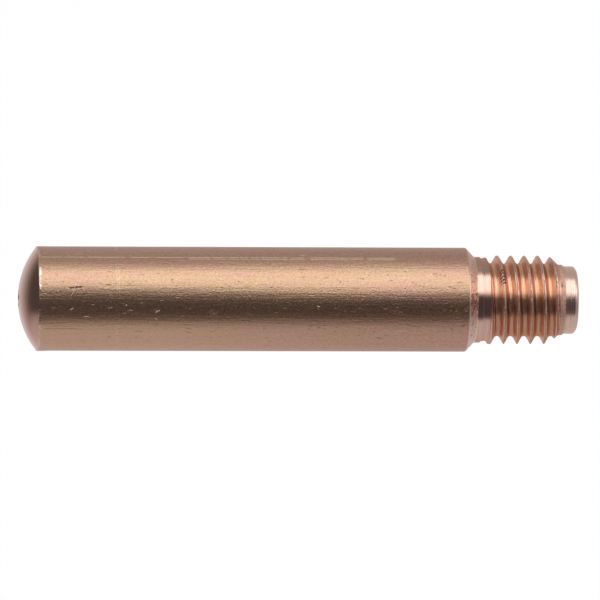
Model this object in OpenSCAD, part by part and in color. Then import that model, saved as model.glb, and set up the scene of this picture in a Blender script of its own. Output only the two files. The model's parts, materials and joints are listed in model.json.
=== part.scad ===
// Welding contact tip: a turned copper insert that guides the welding wire and passes it the current.
// It stands on its threaded end, with the domed nose up. Sizes are in millimetres.

/* [Barrel] */
// Diameter of the drawn bar, kept as the barrel
barrel_d = 8; // [7.2:0.1:10]
// Length of the plain barrel, from the shoulder to the edge of the nose
barrel_len = 33; // [15:0.5:50]

/* [Nose] */
// Height of the domed nose above the end of the barrel
dome_h = 1.42; // [0.6:0.01:3]

/* [Shoulder and neck] */
// Length of the conical shoulder that seats in the torch
shoulder_len = 0.65; // [0.4:0.05:1.5]
// Diameter of the plain neck between shoulder and thread
neck_d = 6.6; // [6.2:0.1:6.7]
// Length of the neck
neck_len = 1.05; // [0.9:0.05:2]
// Length of the collar, the part of the neck that tapers in from the thread
collar_len = 0.57; // [0.4:0.01:0.7]
// How far the collar tapers in
collar_taper = 0.13; // [0.04:0.01:0.2]

/* [Thread] */
// Diameter over the crests of the thread
thread_d = 6.82; // [6.7:0.02:7.1]
// Distance from one turn of the thread to the next
thread_pitch = 1.04; // [0.9:0.02:1.1]
// Length of the threaded shank, with its relief and tapered lead
thread_len = 5.8; // [4:0.1:9]
// Length of the tapered lead at the start of the thread
lead_len = 0.7; // [0.5:0.05:1.5]
// Radius at the bottom of the thread
root_r = 0.25; // [0.2:0.01:0.3]
// Width of the crest of the thread
crest_w = 0.04; // [0.04:0.01:0.16]

/* [Pilot] */
// Diameter of the plain pilot that enters the torch ahead of the thread
pilot_d = 5.2; // [4.6:0.1:5.3]
// Length of the pilot
pilot_len = 1.05; // [0.8:0.05:2]
// Height of the step from the pilot up to the relief ahead of the thread
relief_step = 0.1; // [0.02:0.02:0.12]
// Length of the relief between pilot and tapered lead
relief_len = 0.35; // [0.2:0.05:0.6]
// How far the relief widens towards the lead
relief_taper = 0.04; // [0.02:0.01:0.06]
// Width of the bevel on the end face
bevel_w = 0.26; // [0.1:0.02:0.5]
// Height of the bevel on the end face
bevel_h = 0.18; // [0.1:0.02:0.5]

/* [Wire bore] */
// Diameter of the bore, a little over the wire
bore_d = 1.4; // [0.8:0.05:2]
// Diameter of the flared wire entry at the end face
entry_d = 2.8; // [2.2:0.1:3.4]
// Depth of the flared wire entry
entry_len = 1; // [0.5:0.1:3]

/* [Hidden] */
$fn = 96;

// Heights of the turned steps, from the end face up
thread_z = pilot_len;
lead_z = thread_z + relief_len;
crest_z = lead_z + lead_len;
neck_z = thread_z + thread_len;
shoulder_z = neck_z + neck_len;
barrel_z = shoulder_z + shoulder_len;
dome_z = barrel_z + barrel_len;
total_len = dome_z + dome_h;

// Radius of the nose, from the barrel and the height of the dome
barrel_r = barrel_d / 2;
dome_r = (barrel_r * barrel_r + dome_h * dome_h) / (2 * dome_h);

// Thread form: flanks 60 degrees apart, a narrow crest and a rounded root
flank_slope = tan(60);
thread_depth = (thread_pitch - crest_w) * flank_slope / 2 - root_r;
thread_root_r = thread_d / 2 - thread_depth;
root_half_w = root_r * cos(30);
relief_r = pilot_d / 2 + relief_step;
lead_r = relief_r + relief_taper;

// The groove that leaves the thread standing is cut a little past the crests, then straight out
past_crest = 0.02;
groove_h = thread_depth + past_crest;
groove_half_w = root_half_w + (groove_h - root_r / 2) / flank_slope;
groove_out = groove_h + 0.3;

// The groove starts clear of the metal beside the pilot. In the collar it rises to a shallow
// trace over half a turn, and out of the metal at its end
groove_steps = 32;
groove_from = thread_z - 0.7;
runout_from = neck_z - 0.3 * thread_pitch;
trace_from = runout_from + thread_pitch / 2;
groove_to = neck_z + 0.4 * thread_pitch;
trace_to = groove_to - thread_pitch / 6;
groove_count = ceil((groove_to - groove_from) / thread_pitch * groove_steps);
runout_rise = neck_d / 2 - thread_root_r + 0.05;
trace_rise = runout_rise - 0.22;

// Cutting shape across the groove: distance along the axis, then height above the root
groove_shape = [
    [-groove_half_w, groove_out],
    [-groove_half_w, groove_h],
    for (a = [-60:30:60]) [root_r * sin(a), root_r * (1 - cos(a))],
    [groove_half_w, groove_h],
    [groove_half_w, groove_out]
];

function groove_z(i) = groove_from + thread_pitch * i / groove_steps;
function share(z, from, to) = min(1, max(0, (z - from) / (to - from)));
function groove_rise(z) =
    trace_rise * share(z, runout_from, trace_from)
    + (runout_rise - trace_rise) * share(z, trace_to, groove_to);
function groove_point(i, p) =
    let (angle = 360 * i / groove_steps)
    let (r = thread_root_r + groove_rise(groove_z(i)) + p[1])
    [r * cos(angle), r * sin(angle), groove_z(i) + p[0]];

// The right-hand groove of the thread, swept round the shank
module thread_groove() {
    n = len(groove_shape);
    points = [for (i = [0:groove_count]) for (p = groove_shape) groove_point(i, p)];
    sides = [
        for (i = [0:groove_count - 1])
        for (j = [0:n - 1])
        let (a = i * n + j)
        let (b = i * n + (j + 1) % n)
        for (f = [[a, b + n, b], [a, a + n, b + n]])
        f
    ];
    first = [for (j = [0:n - 1]) j];
    last = [for (j = [0:n - 1]) groove_count * n + n - 1 - j];
    polyhedron(points, concat(sides, [first, last]), convexity = 12);
}

// Barrel of drawn bar, turned to a dome at the nose
module barrel() {
    translate([0, 0, barrel_z]) cylinder(r = barrel_r, h = barrel_len);
    intersection() {
        translate([0, 0, dome_z]) cylinder(r = barrel_r, h = dome_h);
        translate([0, 0, total_len - dome_r]) sphere(r = dome_r);
    }
}

// Pilot, relief, tapered lead, threaded shank, collar, neck and shoulder, one above the other
module shank() {
    cylinder(r1 = pilot_d / 2 - bevel_w, r2 = pilot_d / 2, h = bevel_h);
    translate([0, 0, bevel_h]) cylinder(d = pilot_d, h = pilot_len - bevel_h);
    translate([0, 0, thread_z]) cylinder(r1 = relief_r, r2 = lead_r, h = relief_len);
    translate([0, 0, lead_z]) cylinder(r1 = lead_r, r2 = thread_d / 2, h = lead_len);
    translate([0, 0, crest_z]) cylinder(d = thread_d, h = neck_z - crest_z);
    translate([0, 0, neck_z]) cylinder(d1 = neck_d, d2 = neck_d - 2 * collar_taper, h = collar_len);
    translate([0, 0, neck_z + collar_len]) cylinder(d = neck_d, h = neck_len - collar_len);
    translate([0, 0, shoulder_z]) cylinder(d1 = neck_d, d2 = barrel_d, h = shoulder_len);
}

// Bore for the wire, flared where the wire enters
module wire_bore() {
    translate([0, 0, -1]) cylinder(d = bore_d, h = total_len + 2);
    cylinder(d1 = entry_d, d2 = bore_d, h = entry_len);
}

// The whole tip, turned from one bar
module contact_tip() {
    color([0.80, 0.53, 0.38])
    difference() {
        union() {
            shank();
            barrel();
        }
        thread_groove();
        wire_bore();
    }
}

contact_tip();
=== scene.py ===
"""A welding contact tip of turned copper, standing on its threaded end.

One outline is turned round the axis, and a right-hand thread is cut into the shank. Drawn,
turned, cut, torn and bored copper each have a finish of their own. The camera lies on its side,
as in the photograph, so the nose points to the left of the picture and +X is up.
"""

import json
import math

import bmesh
import bpy
from mathutils import Matrix, Vector


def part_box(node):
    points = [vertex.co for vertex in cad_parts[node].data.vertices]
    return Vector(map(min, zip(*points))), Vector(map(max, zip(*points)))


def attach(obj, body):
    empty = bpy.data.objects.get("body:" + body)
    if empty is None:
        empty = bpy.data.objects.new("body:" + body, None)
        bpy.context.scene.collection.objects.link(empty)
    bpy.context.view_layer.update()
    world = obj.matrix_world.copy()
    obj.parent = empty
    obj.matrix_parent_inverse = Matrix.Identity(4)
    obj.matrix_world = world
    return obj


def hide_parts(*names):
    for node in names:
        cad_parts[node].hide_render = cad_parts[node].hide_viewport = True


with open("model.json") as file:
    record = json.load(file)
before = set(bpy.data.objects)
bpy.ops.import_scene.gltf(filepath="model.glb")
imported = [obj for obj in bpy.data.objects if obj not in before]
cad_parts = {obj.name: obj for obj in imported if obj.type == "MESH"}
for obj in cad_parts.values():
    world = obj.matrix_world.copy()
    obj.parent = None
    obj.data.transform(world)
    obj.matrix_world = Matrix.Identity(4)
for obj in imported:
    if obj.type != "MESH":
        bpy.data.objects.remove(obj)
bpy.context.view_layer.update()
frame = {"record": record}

MM = 0.001

# Sizes of the tip in millimetres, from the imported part
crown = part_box("contact_tip")[1]
mounts = {mount["name"]: mount.get("dims") for mount in frame["record"]["mounts"]}
BARREL_R = round(crown.x / MM, 2)
BORE_R = mounts["wire_bore"]["r_mm"]
PILOT_R = mounts["pilot"]["r_mm"]
THREAD_R = mounts["thread"]["r_mm"]
THREAD_LEN = mounts["thread"]["length_mm"]
BEVEL_H = 0.18
BEVEL_W = 0.26
THREAD_Z = BEVEL_H + mounts["pilot"]["length_mm"]
RELIEF_R = PILOT_R + 0.1
RELIEF_LEN = 0.35
LEAD_R = RELIEF_R + 0.04
LEAD_LEN = 0.7
NECK_R = 3.3
NECK_LEN = 1.05
COLLAR_LEN = 0.57
COLLAR_TAPER = 0.13
SHOULDER_LEN = 0.65
DOME_H = 1.42
ENTRY_R = 1.4
ENTRY_LEN = 1.0

# Heights of the turned steps, from the end face up
LEAD_Z = THREAD_Z + RELIEF_LEN
NECK_Z = THREAD_Z + THREAD_LEN
COLLAR_Z = NECK_Z + COLLAR_LEN
SHOULDER_Z = NECK_Z + NECK_LEN
BARREL_Z = SHOULDER_Z + SHOULDER_LEN
DOME_R = (BARREL_R ** 2 + DOME_H ** 2) / (2 * DOME_H)
MOUTH_Z = crown.z / MM
DOME_CENTRE_Z = MOUTH_Z - math.sqrt(DOME_R ** 2 - BORE_R ** 2)
DOME_Z = DOME_CENTRE_Z + math.sqrt(DOME_R ** 2 - BARREL_R ** 2)

# The thread's groove: 60 degree flanks on a rounded root, run out into the neck
PITCH = 1.04
ROOT_R = 0.25
CREST_W = 0.04
FLANK = math.radians(60)
ROOT_DISTANCE = THREAD_R - (PITCH - CREST_W) / 2 * math.tan(FLANK) + ROOT_R
GROOVE_START = 0.35
RUNOUT_FROM = NECK_Z - 0.3 * PITCH
RUNOUT_TO = NECK_Z + 0.4 * PITCH
RUNOUT_RISE = NECK_R - ROOT_DISTANCE + 0.05
TRACE_DEPTH = 0.22
# Turns over which the groove rises to a shallow trace, and the trace to nothing
RUNOUT_TURNS = 1 / 2
TRACE_END_TURNS = 1 / 6

# How finely the outline is turned
SIDES = 192
FINE_ROW = 0.025
COARSE_ROW = 0.9


class Wire:
    """One output of a node. Arithmetic on wires adds Math nodes to their tree."""

    def __init__(self, bench, socket):
        self.bench = bench
        self.socket = socket

    def __add__(self, other):
        return self.bench.math("ADD", self, other)

    def __radd__(self, other):
        return self.bench.math("ADD", other, self)

    def __sub__(self, other):
        return self.bench.math("SUBTRACT", self, other)

    def __rsub__(self, other):
        return self.bench.math("SUBTRACT", other, self)

    def __mul__(self, other):
        return self.bench.math("MULTIPLY", self, other)

    def __truediv__(self, other):
        return self.bench.math("DIVIDE", self, other)

    def __lt__(self, other):
        return self.bench.math("LESS_THAN", self, other)

    def __gt__(self, other):
        return self.bench.math("GREATER_THAN", self, other)

    def __abs__(self):
        return self.bench.math("ABSOLUTE", self)

    def output(self, name):
        """Another output of the same node."""
        return Wire(self.bench, self.socket.node.outputs[name])

    def ramp(self, low, high):
        """0 below low and 1 above high, with a smooth rise between; low may be the larger."""
        sockets = {"Value": self, "From Min": low, "From Max": high}
        return self.bench.add("ShaderNodeMapRange", {"interpolation_type": "SMOOTHSTEP"}, sockets)

    def clamped(self):
        """Held between 0 and 1."""
        return self.bench.add("ShaderNodeClamp", {}, {"Value": self})


class Bench:
    """A node tree, and the one way in which nodes are added to it."""

    # A Mix node's sockets for colour share their names with others, so they go by number
    MIX_SHARE, MIX_FIRST, MIX_SECOND, MIX_COLOUR = 0, 6, 7, 2

    def __init__(self, tree):
        self.tree = tree
        tree.nodes.clear()

    def add(self, kind, settings, sockets, out=0):
        """A new node with its settings and inputs; gives the output asked for."""
        node = self.tree.nodes.new(kind)
        for name, value in settings.items():
            setattr(node, name, value)
        for name, value in sockets.items():
            if isinstance(value, Wire):
                self.tree.links.new(value.socket, node.inputs[name])
            else:
                node.inputs[name].default_value = value
        return Wire(self, node.outputs[out]) if node.outputs else None

    def math(self, operation, *values):
        return self.add("ShaderNodeMath", {"operation": operation}, dict(enumerate(values)))

    def vector(self, operation, *values):
        return self.add("ShaderNodeVectorMath", {"operation": operation}, dict(enumerate(values)))

    def mix(self, share, first, second):
        """A colour between two others; each is a wire or three numbers."""
        first, second = [c if isinstance(c, Wire) else (*c, 1) for c in (first, second)]
        sockets = {self.MIX_SHARE: share, self.MIX_FIRST: first, self.MIX_SECOND: second}
        return self.add("ShaderNodeMix", {"data_type": "RGBA"}, sockets, out=self.MIX_COLOUR)

    def noise(self, place, scale, detail=2.0):
        """Noise from 0 to 1 over a place in millimetres."""
        return self.add("ShaderNodeTexNoise", {}, {"Vector": place, "Scale": scale, "Detail": detail})

    def line_noise(self, along, scale, detail=2.0):
        """Noise from 0 to 1 along one measure, in millimetres."""
        return self.add("ShaderNodeTexNoise", {"noise_dimensions": "1D"},
                        {"W": along, "Scale": scale, "Detail": detail})


class TipPlace:
    """Where a point lies on the tip, in millimetres; turn is 0 at the camera and a quarter at +X."""

    # Marks of the upper or lower side, painted light and shade among them, fade out between these
    # turns, out of the camera's sight
    FADE_FROM, FADE_TO = 1.7, 3.0

    def __init__(self, bench):
        metres = bench.add("ShaderNodeTexCoord", {}, {}, out="Object")
        self.spot = bench.add("ShaderNodeVectorMath", {"operation": "SCALE"},
                              {"Vector": metres, "Scale": 1 / MM})
        x = bench.add("ShaderNodeSeparateXYZ", {}, {"Vector": self.spot})
        y = x.output("Y")
        self.height = x.output("Z")
        self.radius = bench.math("SQRT", x * x + y * y)
        self.turn = bench.math("ARCTAN2", x, 0 - y)
        self.arc = self.turn * BARREL_R
        self.bench = bench

    def stretched(self, length):
        """The spot with features drawn out along the axis."""
        return self.bench.vector("MULTIPLY", self.spot, (1, 1, 1 / length))

    def below(self, start, full):
        """0 above one turn, 1 below another, and 0 again at the back."""
        return self.turn.ramp(start, full) * self.turn.ramp(-self.FADE_TO, -self.FADE_FROM)

    def above(self, start, full):
        """0 below one turn, 1 above another, and 0 again at the back."""
        return self.turn.ramp(start, full) * self.turn.ramp(self.FADE_TO, self.FADE_FROM)


def eased_corner(before, corner, after, ease):
    """The points of one eased edge, with a support row at each side."""
    into = (before - corner).normalized()
    out = (after - corner).normalized()
    start = corner + into * ease
    end = corner + out * ease
    bend = [start.lerp(corner, s).lerp(corner.lerp(end, s), s) for s in (0, 0.25, 0.5, 0.75, 1)]
    return [corner + into * ease * 1.5, *bend, corner + out * ease * 1.5]


def dome_points(rows):
    """The nose's arc from the barrel's edge to the mouth of the bore, without its ends."""
    low = math.asin(BARREL_R / DOME_R)
    high = math.asin(BORE_R / DOME_R)
    slants = [low + (high - low) * row / rows for row in range(1, rows)]
    return [(DOME_R * math.sin(s), DOME_CENTRE_Z + DOME_R * math.cos(s), 0) for s in slants]


def tip_outline():
    """The closed outline of one half of the tip, as radius and height in millimetres."""
    corners = [
        (ENTRY_R, 0, 0.05),
        (PILOT_R - BEVEL_W, 0, 0.05),
        (PILOT_R, BEVEL_H, 0.14),
        (PILOT_R, THREAD_Z, 0.02),
        (RELIEF_R, THREAD_Z, 0.02),
        (LEAD_R, LEAD_Z, 0.06),
        (THREAD_R, LEAD_Z + LEAD_LEN, 0.08),
        (THREAD_R, NECK_Z, 0.04),
        (NECK_R, NECK_Z, 0.04),
        (NECK_R - COLLAR_TAPER, COLLAR_Z, 0.02),
        (NECK_R, COLLAR_Z, 0.03),
        (NECK_R, SHOULDER_Z, 0.12),
        (BARREL_R, BARREL_Z, 0.1),
        (BARREL_R, DOME_Z, 0.06),
        *dome_points(24),
        (BORE_R, MOUTH_Z, 0.06),
        (BORE_R, ENTRY_LEN, 0.08),
    ]
    points = []
    for i, (radius, height, ease) in enumerate(corners):
        corner = Vector((radius, height))
        before = Vector(corners[i - 1][:2])
        after = Vector(corners[(i + 1) % len(corners)][:2])
        points += eased_corner(before, corner, after, ease) if ease else [corner]
    rows = []
    for i, start in enumerate(points):
        end = points[(i + 1) % len(points)]
        cut = start.x > PILOT_R and end.x > PILOT_R and start.y < SHOULDER_Z
        count = math.ceil((end - start).length / (FINE_ROW if cut else COARSE_ROW))
        rows += [start.lerp(end, row / count) for row in range(count)]
    return rows


def outline_mesh(name):
    """The outline as a ring of edges, drawn from the bore's wall outwards and from the foot up."""
    rows = tip_outline()
    mesh = bpy.data.meshes.new(name)
    points = [((row.x - BORE_R) * MM, -row.y * MM, 0) for row in rows]
    mesh.from_pydata(points, [(i, (i + 1) % len(rows)) for i in range(len(rows))], [])
    return mesh


# Named inputs of the turned tip's tree, in metres
TIP_SIZES = {
    "Bore radius": BORE_R * MM,
    "Thread pitch": PITCH * MM,
    "Groove start": GROOVE_START * MM,
    "Root radius": ROOT_R * MM,
    "Root distance": ROOT_DISTANCE * MM,
    "Runout from": RUNOUT_FROM * MM,
    "Runout to": RUNOUT_TO * MM,
    "Runout rise": RUNOUT_RISE * MM,
    "Crest ease": 0.06 * MM,
    "Crest burr": 0.03 * MM,
    "Edge burr": 0.04 * MM,
}


def cut_groove(bench, size, spot):
    """The radius left by the thread's groove, beside the radius and height before the cut."""
    x = bench.add("ShaderNodeSeparateXYZ", {}, {"Vector": spot})
    y = x.output("Y")
    z = x.output("Z")
    radius = bench.math("SQRT", x * x + y * y)
    turns = bench.math("ARCTAN2", y, x) / (2 * math.pi)
    phase = (z - size["Groove start"]) / size["Thread pitch"] - turns
    across = (bench.math("FRACT", phase + 0.5) - 0.5) * size["Thread pitch"]
    turns_in = (z - across - size["Runout from"]) / size["Thread pitch"]
    turns_left = (size["Runout to"] - z + across) / size["Thread pitch"]
    trace = size["Runout rise"] - TRACE_DEPTH * MM
    root = size["Root distance"] + (turns_in / RUNOUT_TURNS).clamped() * trace
    root = root + bench.math("MAXIMUM", 1 - turns_left / TRACE_END_TURNS, 0) * TRACE_DEPTH * MM
    across = abs(across)
    half = size["Root radius"] * math.sin(FLANK)
    well = bench.math("MAXIMUM", size["Root radius"] * size["Root radius"] - across * across, 0)
    bottom = size["Root radius"] - bench.math("SQRT", well)
    side = size["Root radius"] * (1 - math.cos(FLANK)) + (across - half) * math.tan(FLANK)
    floor = bench.math("MULTIPLY_ADD", across > half, side - bottom, bottom)
    rough = bench.noise(spot, 2.2 / MM, 3.0) - 0.5
    crest = (across / size["Thread pitch"]).ramp(0.36, 0.44)
    groove = root + floor + rough * crest * size["Crest burr"]
    return bench.math("SMOOTH_MIN", radius, groove, size["Crest ease"]), radius, z


def tip_tree(finishes):
    """The tree that turns the outline, cuts the thread and gives each stretch its finish."""
    tree = bpy.data.node_groups.new("turned_tip", "GeometryNodeTree")
    bench = Bench(tree)
    tree.interface.new_socket("Outline", in_out="INPUT", socket_type="NodeSocketGeometry")
    tree.interface.new_socket("Sides", in_out="INPUT", socket_type="NodeSocketInt")
    for name in TIP_SIZES:
        tree.interface.new_socket(name, in_out="INPUT", socket_type="NodeSocketFloat")
    tree.interface.new_socket("Tip", in_out="OUTPUT", socket_type="NodeSocketGeometry")
    given = bench.add("NodeGroupInput", {}, {}, out="Outline")
    size = {name: given.output(name) for name in TIP_SIZES}

    outline = bench.add("GeometryNodeMeshToCurve", {}, {"Mesh": given})
    ring = bench.add("GeometryNodeCurvePrimitiveCircle", {},
                     {"Resolution": given.output("Sides"), "Radius": size["Bore radius"]})
    blank = bench.add("GeometryNodeCurveToMesh", {}, {"Curve": ring, "Profile Curve": outline})

    spot = bench.add("GeometryNodeInputPosition", {}, {})
    cut, radius, z = cut_groove(bench, size, spot)
    radius_mm = radius / MM
    height = z / MM
    shank = height < SHOULDER_Z
    shrink = bench.add("ShaderNodeCombineXYZ", {}, {0: cut / radius, 1: cut / radius, 2: 1.0})
    placed = bench.vector("MULTIPLY", spot, shrink)
    threaded = bench.add("GeometryNodeSetPosition", {},
                         {"Geometry": blank, "Selection": shank, "Position": placed})

    # A small burr rolled up on the edge between barrel and nose
    edge = height.ramp(DOME_Z - 0.35, DOME_Z - 0.05) * height.ramp(DOME_Z + 0.12, DOME_Z)
    edge = edge * (radius_mm > BARREL_R - 0.5)
    ragged = bench.noise(spot, 0.9 / MM, 3.0).ramp(0.45, 0.75)
    outward = bench.vector("NORMALIZE", bench.vector("MULTIPLY", spot, (1, 1, 0)))
    burr = bench.add("ShaderNodeVectorMath", {"operation": "SCALE"},
                     {"Vector": outward, "Scale": edge * ragged * size["Edge burr"]})
    tip = bench.add("GeometryNodeSetPosition", {}, {"Geometry": threaded, "Offset": burr})

    tip = bench.add("GeometryNodeSetShadeSmooth", {}, {"Geometry": tip})
    tip = bench.add("GeometryNodeRealizeInstances", {}, {"Geometry": tip})

    # Where each finish lies; later ones go over earlier ones
    outer = radius_mm > PILOT_R - 0.4
    entry = (radius_mm < ENTRY_R - 0.02) * (height < ENTRY_LEN + 0.1)
    stretches = {
        "turned_copper": 1.0,
        "drawn_copper": (radius_mm > BARREL_R - 0.1) * (height > BARREL_Z) * (height < DOME_Z),
        "torn_copper": outer * (height > THREAD_Z - 0.3) * (height < BARREL_Z - 0.03),
        "cut_copper": outer * (height > LEAD_Z) * (height < SHOULDER_Z - 0.05),
        "bored_copper": entry + (radius_mm < BORE_R + 0.02) * (height < MOUTH_Z - 0.05),
    }
    for name, where in stretches.items():
        selected = where > 0.5 if isinstance(where, Wire) else True
        tip = bench.add("GeometryNodeSetMaterial", {},
                        {"Geometry": tip, "Selection": selected, "Material": finishes[name]})
    bench.add("NodeGroupOutput", {}, {"Tip": tip})
    return tree


def turn_tip(finishes):
    """The whole tip as one closed mesh."""
    tip = bpy.data.objects.new("turned_contact_tip", outline_mesh("outline"))
    bpy.context.scene.collection.objects.link(tip)
    tree = tip_tree(finishes)
    turning = tip.modifiers.new("turning", "NODES")
    turning.node_group = tree
    for socket in tree.interface.items_tree:
        if socket.name in TIP_SIZES:
            turning[socket.identifier] = TIP_SIZES[socket.name]
        if socket.name == "Sides":
            turning[socket.identifier] = SIDES
    seen = tip.evaluated_get(bpy.context.evaluated_depsgraph_get())
    mesh = bpy.data.meshes.new_from_object(seen)
    tip.modifiers.remove(turning)
    tip.data = mesh
    shell = bmesh.new()
    shell.from_mesh(mesh)
    bmesh.ops.recalc_face_normals(shell, faces=shell.faces)
    shell.to_mesh(mesh)
    shell.free()
    return tip


def copper(name, anisotropic, grain_turn, glance, dress):
    """A copper finish; dress gives its colour, roughness and relief in millimetres."""
    material = bpy.data.materials.new(name)
    material.use_nodes = True
    bench = Bench(material.node_tree)
    colour, roughness, relief = dress(bench, TipPlace(bench))
    normal = bench.add("ShaderNodeBump", {}, {"Strength": 1.0, "Distance": MM, "Height": relief})
    metal = bench.add("ShaderNodeBsdfPrincipled", {}, {
        "Base Color": colour,
        "Metallic": 1.0,
        "Roughness": roughness,
        "Anisotropic": anisotropic,
        "Anisotropic Rotation": grain_turn,
        "Specular Tint": (*glance, 1),
        "Normal": normal,
    })
    bench.add("ShaderNodeOutputMaterial", {}, {"Surface": metal})
    return material


def scratch(place, height, turn, length, width, lean):
    """1 along one short scratch on the barrel, 0 elsewhere; lean turns it from the axis."""
    up = place.arc - math.radians(turn) * BARREL_R
    along = place.height - height
    run = along * math.cos(math.radians(lean)) + up * math.sin(math.radians(lean))
    side = up * math.cos(math.radians(lean)) - along * math.sin(math.radians(lean))
    return abs(run).ramp(length / 2, length / 4) * abs(side).ramp(width / 2, width / 8)


# Scratches on the barrel: height, turn in degrees, length, width, and lean in degrees
SCRATCHES = [
    (38.95, 8.5, 1.5, 0.05, -70),
    (39.05, -11.5, 0.4, 0.08, -30),
    (37.95, -20.0, 0.45, 0.06, -5),
    (32.5, -14.0, 0.5, 0.07, -25),
    (34.9, -7.0, 0.15, 0.08, 0),
    (32.6, -22.5, 0.35, 0.06, 35),
    (21.3, 57.5, 0.6, 0.06, 0),
    (20.2, -8.0, 0.3, 0.05, 20),
    (38.6, 10.2, 1.0, 0.06, -6),
    (41.42, 32.5, 0.9, 0.26, 90),
    (41.45, 12.0, 0.6, 0.2, 90),
]
# A dent and a score on the barrel, given in the same way
DENT = (38.75, 12.4, 1.25, 0.14, -6)
SCORE = (39.95, -34.8, 3.6, 0.06, 0)
# Die lines along the barrel: turn in degrees, width, and the heights between which each shows
DIE_LINES = [(52.6, 0.1, 14, 42), (49.8, 0.07, 14, 30)]
# Faint rings left round the barrel by a tool
TOOL_RINGS_Z = (35.44, 35.6)
# Where the tool chattered on one crest of the thread: height, and turn in radians
CHATTER_Z, CHATTER_TURN = 5.87, 0.58

# Tones of the drawn skin, as linear colours
# Golden and rosy tones, mixed at random and as a painted tint of light by side
GOLDEN = (0.66, 0.437, 0.25)
ROSY = (0.685, 0.38, 0.298)
DRAWN_LINE = (0.53, 0.31, 0.22)
HAIRLINE = (0.50, 0.295, 0.21)
LIGHT_GRAIN = (0.80, 0.505, 0.36)
SPECKLE = (0.45, 0.26, 0.18)
# Painted light on the barrel's lower side
LOWER_SKIN_LIGHT = (0.86, 0.55, 0.38)
PIT = (0.20, 0.105, 0.065)
BARE_METAL = (0.92, 0.70, 0.56)
# Tones of the turned pilot and nose
TURNED_END = (0.93, 0.64, 0.535)
TURNED_NOSE = (0.72, 0.425, 0.34)
TURNED_DULL = (0.68, 0.40, 0.31)
TURNED_STREAK = (0.66, 0.43, 0.34)
# Tones of the cut thread and the collar's land
THREAD_FLANK = (0.86, 0.56, 0.445)
THREAD_ROOT = (0.87, 0.525, 0.35)
THREAD_LINE = (0.60, 0.30, 0.185)
THREAD_CREST = (0.94, 0.63, 0.50)
CREST_SHADE = (0.42, 0.22, 0.15)
THREAD_TORN = (0.50, 0.27, 0.18)
# Painted shade on the thread's lower side
THREAD_LOW_SHADE = (0.62, 0.34, 0.22)
CHATTER = (0.16, 0.09, 0.055)
LAND = (0.84, 0.55, 0.455)
# Painted shade on the collar's upper side
LAND_UPPER_SHADE = (0.60, 0.36, 0.285)
LAND_RING = (0.62, 0.44, 0.33)
# Tones of the torn neck and seat, and of the bore
TORN_PALE = (0.88, 0.58, 0.47)
TORN_DARK = (0.76, 0.45, 0.34)
GLINT = (1.0, 0.62, 0.44)
# Painted light on the seat's lower side
LOWER_SEAT_LIGHT = (1.0, 0.77, 0.67)
# Stains, also laid as painted shade
STAIN_AND_SHADE = (0.36, 0.19, 0.14)
BORE_PALE = (0.62, 0.38, 0.28)
BORE_DARK = (0.48, 0.29, 0.21)


def drawn_finish(bench, place):
    """Drawn bar: fine lines along the axis, mottled colour with a painted tint of light by side,
    painted light on the lower side, small pits and handling marks.
    """
    lines = bench.noise(place.stretched(30), 7.0, 4.0)
    hair = bench.noise(place.stretched(40), 16.0, 2.0)
    grain = bench.noise(place.stretched(1.3), 8.0, 2.0)
    speckle = bench.noise(place.spot, 8.0, 1.0)
    mottle_and_light_tint = bench.noise(place.stretched(2.5), 1.1, 3.0).ramp(0.35, 0.65) * 0.3
    mottle_and_light_tint = mottle_and_light_tint + bench.noise(place.stretched(4), 0.45, 2.0).ramp(0.4, 0.62) * 0.5
    # Painted tint of light: golden near the camera's side of the barrel, rosier towards its upper and
    # lower sides
    mottle_and_light_tint = mottle_and_light_tint + abs(place.turn - 0.1).ramp(0.35, 1.0) * 0.6
    curls = abs(bench.noise(place.stretched(1.6), 0.55, 2.0) - 0.5).ramp(0.006, 0.002)
    pits = bench.noise(place.stretched(3), 5.0, 1.0).ramp(0.66, 0.76)
    bright = 0.0
    for mark in SCRATCHES:
        bright = scratch(place, *mark) + bright
    broken = bench.line_noise(place.height, 1.6, 3.0).ramp(0.2, 0.5)
    for turn, width, low, high in DIE_LINES:
        side = place.arc - math.radians(turn) * BARREL_R
        line = abs(side).ramp(width / 2, width / 6) * (place.height > low) * (place.height < high)
        bright = line * broken * 0.85 + bright
    patch = bench.noise(place.spot, 0.8, 3.0)
    ring = 0.0
    for height in TOOL_RINGS_Z:
        ring = abs(place.height - height).ramp(0.06, 0.02) + ring
    worn = (place.height + grain * 0.35).ramp(DOME_Z - 0.05, DOME_Z + 0.12) * patch.ramp(0.42, 0.6)
    dent = scratch(place, *DENT)
    score = scratch(place, *SCORE)
    bright = bright + ring * patch.ramp(0.35, 0.55) * 0.24 + worn * 0.7
    bright = (bright + curls * patch.ramp(0.5, 0.65) * 0.3).clamped()
    colour = bench.mix(mottle_and_light_tint.clamped(), GOLDEN, ROSY)
    colour = bench.mix(lines.ramp(0.35, 0.7) * 0.42, colour, DRAWN_LINE)
    colour = bench.mix(hair.ramp(0.5, 0.7) * 0.3, colour, HAIRLINE)
    colour = bench.mix(grain.ramp(0.4, 0.7) * 0.5, colour, LIGHT_GRAIN)
    colour = bench.mix(speckle.ramp(0.45, 0.65) * 0.48, colour, SPECKLE)
    # Painted light: the barrel's lower side is lighter
    painted_lower_light = place.below(-0.3, -0.6) * place.height.ramp(10, 36)
    colour = bench.mix(painted_lower_light * 0.42, colour, LOWER_SKIN_LIGHT)
    colour = bench.mix((pits * 0.4 + dent + score * 0.6).clamped(), colour, PIT)
    colour = bench.mix(bright, colour, BARE_METAL)
    roughness = 0.265 + grain * 0.08 - bright * 0.1
    hump = abs(place.turn - 0.506).ramp(0.75, 0) * place.height.ramp(14, 40)
    relief = lines * 0.012 + hair * 0.004 + grain * 0.015 - pits * 0.01 + bright * 0.012
    relief = relief - dent * 0.06 + hump * 0.12
    return colour, roughness, relief


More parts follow.
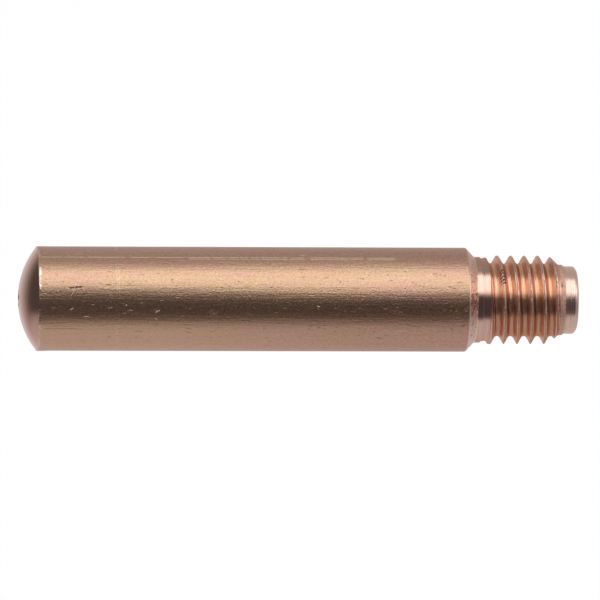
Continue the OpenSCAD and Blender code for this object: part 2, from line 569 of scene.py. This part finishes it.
def turned_finish(bench, place):
    """Turned copper: fine tool rings round the axis."""
    feed = bench.line_noise(place.height + place.radius, 6.0, 3.0)
    fine = bench.line_noise(place.height + place.radius, 26.0, 1.0)
    wander = bench.noise(place.spot, 3.0, 2.0)
    nose = place.height.ramp(BARREL_Z, DOME_Z)
    streaks = feed.ramp(0.45, 0.62) * (1 - nose)
    flat = place.below(0.25, -0.65) * (1 - nose)
    colour = bench.mix(nose, TURNED_END, TURNED_NOSE)
    colour = bench.mix(wander.ramp(0.45, 0.7) * 0.3, colour, TURNED_DULL)
    colour = bench.mix(streaks * 0.35, colour, TURNED_STREAK)
    roughness = 0.2 + wander * 0.08 + feed * 0.04 - nose * 0.08 + streaks * 0.14
    relief = (feed * 0.01 + fine * 0.003) * (1 - nose * 0.7) + flat * 0.04
    return colour, roughness, relief


def cut_finish(bench, place):
    """Fresh-cut thread: lines that follow the groove, torn, brighter crests and a ringed collar, with
    painted shade beside the crests, on the lower side and on the collar's upper side.
    """
    # Distance from the groove's middle, whose turn starts a quarter before the camera's
    phase = (place.height - GROOVE_START) / PITCH - place.turn / (2 * math.pi) + 0.25
    offset = (bench.math("FRACT", phase + 0.5) - 0.5) * PITCH
    across = abs(offset)
    torn = bench.noise(place.spot, 4.0, 3.0)
    crest = across.ramp(0.42, 0.46)
    under = offset.ramp(0.30, 0.36) * offset.ramp(0.45, 0.41)
    nicks = crest * bench.noise(place.spot, 5.0, 2.0).ramp(0.56, 0.64)
    near = abs(place.height - CHATTER_Z).ramp(0.3, 0.2)
    near = near * abs(place.turn - CHATTER_TURN).ramp(0.24, 0.18)
    waves = bench.math("SINE", (place.arc * 0.85 + place.height * 0.6) * 21)
    chatter = waves.ramp(-0.2, 0.3) * near
    x = bench.add("ShaderNodeSeparateXYZ", {}, {"Vector": place.spot})
    y = x.output("Y")
    swept = {0: offset, 1: (x + place.height) * 0.07, 2: (y - place.height) * 0.07}
    lines = bench.noise(bench.add("ShaderNodeCombineXYZ", {}, swept), 9.0, 2.0)
    root = across.ramp(0.0, 0.2)
    collar = place.height.ramp(NECK_Z - 0.45, NECK_Z - 0.35) * place.radius.ramp(3.04, 3.12)
    rings = bench.line_noise(place.height, 10.0, 3.0) * collar
    colour = bench.mix(across.ramp(0.26, 0.18), THREAD_FLANK, THREAD_ROOT)
    colour = bench.mix(lines.ramp(0.48, 0.6) * 0.4, colour, THREAD_LINE)
    colour = bench.mix(crest, colour, THREAD_CREST)
    # Painted shadow on the flank beside each crest
    colour = bench.mix(under * 0.6, colour, CREST_SHADE)
    ragged = (torn.ramp(0.5, 0.7) * 0.25 + nicks * 0.7).clamped()
    colour = bench.mix(ragged, colour, THREAD_TORN)
    # Painted shade: roots and crests are darker on the lower side
    painted_low_shade = place.below(-0.12, -0.4) * (across.ramp(0.3, 0.15) + crest)
    colour = bench.mix(painted_low_shade * 0.8, colour, THREAD_LOW_SHADE)
    colour = bench.mix(chatter, colour, CHATTER)
    # Painted shade: the collar's land is darker on its upper side
    land = bench.mix(place.above(0.5, 0.75) * 0.9, LAND, LAND_UPPER_SHADE)
    colour = bench.mix(collar, colour, land)
    colour = bench.mix(rings.ramp(0.45, 0.6) * 0.5, colour, LAND_RING)
    roughness = 0.25 + torn * 0.1 - collar * 0.09
    easing = across.ramp(0.475, 0.395) * 0.11 - root * root * 0.01
    groove = easing + lines * 0.06 + torn * crest * 0.02 - nicks * 0.05 - chatter * 0.03
    flat = place.below(0.02, -0.75) * collar
    relief = groove * (1 - collar) + rings * 0.012 + flat * 0.06
    return colour, roughness, relief


def torn_finish(bench, place):
    """The neck, the seat and the relief ahead of the thread: torn by the tool and duller, with
    painted glints, painted light on the seat's lower side and stains gathered by painted shade into a
    band.
    """
    torn = bench.noise(place.stretched(0.6), 5.0, 4.0)
    seat = place.height.ramp(LEAD_Z, NECK_Z)
    # Stains at random, with more of them in a painted shade band on the camera's side of the seat
    low = abs(place.turn + 0.06).ramp(0.34, 0.1) * seat
    stain_and_shade = (bench.noise(place.spot, 2.6, 3.0) + low * 0.2).ramp(0.62, 0.70)
    lit = abs(place.turn - 0.28).ramp(0.2, 0.05)
    glint = (bench.noise(place.stretched(0.5), 3.4, 2.0) + lit * 0.2).ramp(0.58, 0.68)
    # Painted light: the seat's lower side is lighter
    painted_lower_light = place.below(-0.2, -0.65) * seat
    rings = bench.line_noise(place.height, 7.0, 2.0)
    colour = bench.mix(torn.ramp(0.35, 0.7), TORN_PALE, TORN_DARK)
    colour = bench.mix(glint * 0.95, colour, GLINT)
    colour = bench.mix(painted_lower_light * 0.9, colour, LOWER_SEAT_LIGHT)
    colour = bench.mix(stain_and_shade * 0.85, colour, STAIN_AND_SHADE)
    roughness = 0.23 + torn * 0.12 + place.height.ramp(4, 3) * 0.34
    relief = torn * 0.08 + rings * 0.008
    return colour, roughness, relief


def bore_finish(bench, place):
    """The drilled bore: spiral tool lines, dulled."""
    lines = bench.line_noise(place.height * 2 + place.turn * 0.15, 5.0, 2.0)
    colour = bench.mix(lines, BORE_PALE, BORE_DARK)
    return colour, 0.35 + lines * 0.15, lines * 0.01


def make_finishes():
    """Each finish by name. The turn of the grain suits lines along the axis or round it."""
    along, around = 0.0, 0.25
    pale, warm = (1.0, 1.0, 1.0), (0.88, 0.65, 0.55)
    return {
        "drawn_copper": copper("drawn_copper", 0.5, along, pale, drawn_finish),
        "turned_copper": copper("turned_copper", 0.4, around, pale, turned_finish),
        "cut_copper": copper("cut_copper", 0.3, around, warm, cut_finish),
        "torn_copper": copper("torn_copper", 0.2, around, pale, torn_finish),
        "bored_copper": copper("bored_copper", 0.3, around, pale, bore_finish),
    }


def studio_world():
    """White to the camera. The metal sees a grey studio with a dark gap in front and overhead."""
    world = bpy.data.worlds.new("studio")
    bpy.context.scene.world = world
    world.use_nodes = True
    bench = Bench(world.node_tree)
    way = bench.add("ShaderNodeTexCoord", {}, {}, out="Generated")
    x = bench.add("ShaderNodeSeparateXYZ", {}, {"Vector": way})
    y = x.output("Y")
    z = x.output("Z")
    # The dark gap between the studio's lower side and the lamp
    low_side = (y * 0.25 - x + abs(z) * 0.234 + z.ramp(0.5, 0.9) * 0.12) / 1.057
    dark = low_side.ramp(0.72, 0.54) * (x - z * 0.17).ramp(0.45, 0.25)
    # How light it is beside the gap, in it, and behind the tip
    side = 0.56 - x.ramp(-0.2, 0.5) * (0.1 + z.ramp(0.1, 0.5) * 0.16) - z.ramp(0.1, 0.5) * 0.04
    deep = 0.055 + z.ramp(0.5, 0.85) * 0.03 + z.ramp(-0.35, -0.75) * 0.25
    back = 0.62 + z.ramp(0, 0.3) * 0.18
    front = side - dark * (side - deep)
    level = front + y.ramp(0.46, 1.05) * (back - front)
    # A beam and a pale patch low down, which only cones and flanks catch
    beam = abs(x * 0.71 + y * 0.7).ramp(0.2, 0.1) * (x * 0.7 - y * 0.71).ramp(0.1, 0.25)
    beam = beam * z.ramp(-0.45, -0.65)
    level = level + z.ramp(-0.8, -0.92) * x.ramp(0.05, 0.25) * 0.7 + beam * 0.7
    path = bench.add("ShaderNodeLightPath", {}, {}, out="Is Camera Ray")
    level = bench.math("MAXIMUM", level, path)
    # The gap is a little purple
    tint = bench.mix(dark * z.ramp(0.4, 0.15), (1.0, 1.0, 1.0), (1.08, 0.97, 1.08))
    light = bench.add("ShaderNodeBackground", {}, {"Color": tint, "Strength": level})
    bench.add("ShaderNodeOutputWorld", {}, {"Surface": light})


def softbox():
    """The long softbox above the tip in the picture, a little towards the camera."""
    lamp = bpy.data.lights.new("softbox", "AREA")
    lamp.shape = "RECTANGLE"
    lamp.size = 0.326
    lamp.size_y = 0.6
    lamp.energy = 0.72
    lamp.color = (0.95, 1.0, 0.99)
    holder = bpy.data.objects.new("softbox", lamp)
    distance = 0.3
    swing = math.radians(44.5)
    way = Vector((math.sin(swing), -math.cos(swing), 0))
    aim = Vector((0, 0, MOUTH_Z / 2 * MM))
    holder.location = aim + way * distance
    holder.rotation_mode = "QUATERNION"
    holder.rotation_quaternion = (-way).to_track_quat("-Z", "Y")
    holder.visible_camera = False
    bpy.context.scene.collection.objects.link(holder)


def pale_floor():
    """A plain white floor that keeps a faint shadow and stays out of the metal."""
    half = 3.0
    glow = 1.035
    glow_share = 0.95
    mesh = bpy.data.meshes.new("pale_floor")
    corners = [(-half, -half, 0), (half, -half, 0), (half, half, 0), (-half, half, 0)]
    mesh.from_pydata(corners, [], [(0, 1, 2, 3)])
    floor = bpy.data.objects.new("pale_floor", mesh)
    bpy.context.scene.collection.objects.link(floor)
    material = bpy.data.materials.new("pale_floor")
    material.use_nodes = True
    bench = Bench(material.node_tree)
    matt = bench.add("ShaderNodeBsdfDiffuse", {}, {"Color": (0.9, 0.9, 0.9, 1)})
    lit = bench.add("ShaderNodeEmission", {}, {"Color": (1, 1, 1, 1), "Strength": glow})
    seen = bench.add("ShaderNodeLightPath", {}, {}, out="Is Camera Ray")
    both = bench.add("ShaderNodeMixShader", {}, {0: seen * glow_share, 1: matt, 2: lit})
    bench.add("ShaderNodeOutputMaterial", {}, {"Surface": both})
    mesh.materials.append(material)
    floor.visible_glossy = False


def photo_camera():
    """The camera of the photograph: long lens, level with the tip, rolled on its side."""
    distance = 600 * MM
    picture_width = 46.1 * MM
    tilt = math.radians(4.9)
    roll = math.radians(0.17)
    aim = Vector((-0.06, 0, 21.285)) * MM
    right = Vector((0, -math.sin(tilt), -math.cos(tilt)))
    back = Vector((0, -math.cos(tilt), math.sin(tilt)))
    stance = Matrix((right, Vector((1, 0, 0)), back)).transposed()
    lens = bpy.data.cameras.new("photo_camera")
    lens.sensor_width = 36
    lens.lens = lens.sensor_width * distance / picture_width
    camera = bpy.data.objects.new("photo_camera", lens)
    turned = (stance @ Matrix.Rotation(roll, 3, "Z")).to_4x4()
    camera.matrix_world = Matrix.Translation(aim + back * distance) @ turned
    bpy.context.scene.collection.objects.link(camera)
    bpy.context.scene.camera = camera


bpy.context.scene.view_settings.view_transform = "Standard"
photo_camera()
tip = turn_tip(make_finishes())
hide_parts("contact_tip")
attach(tip, "root")
pale_floor()
softbox()
studio_world()
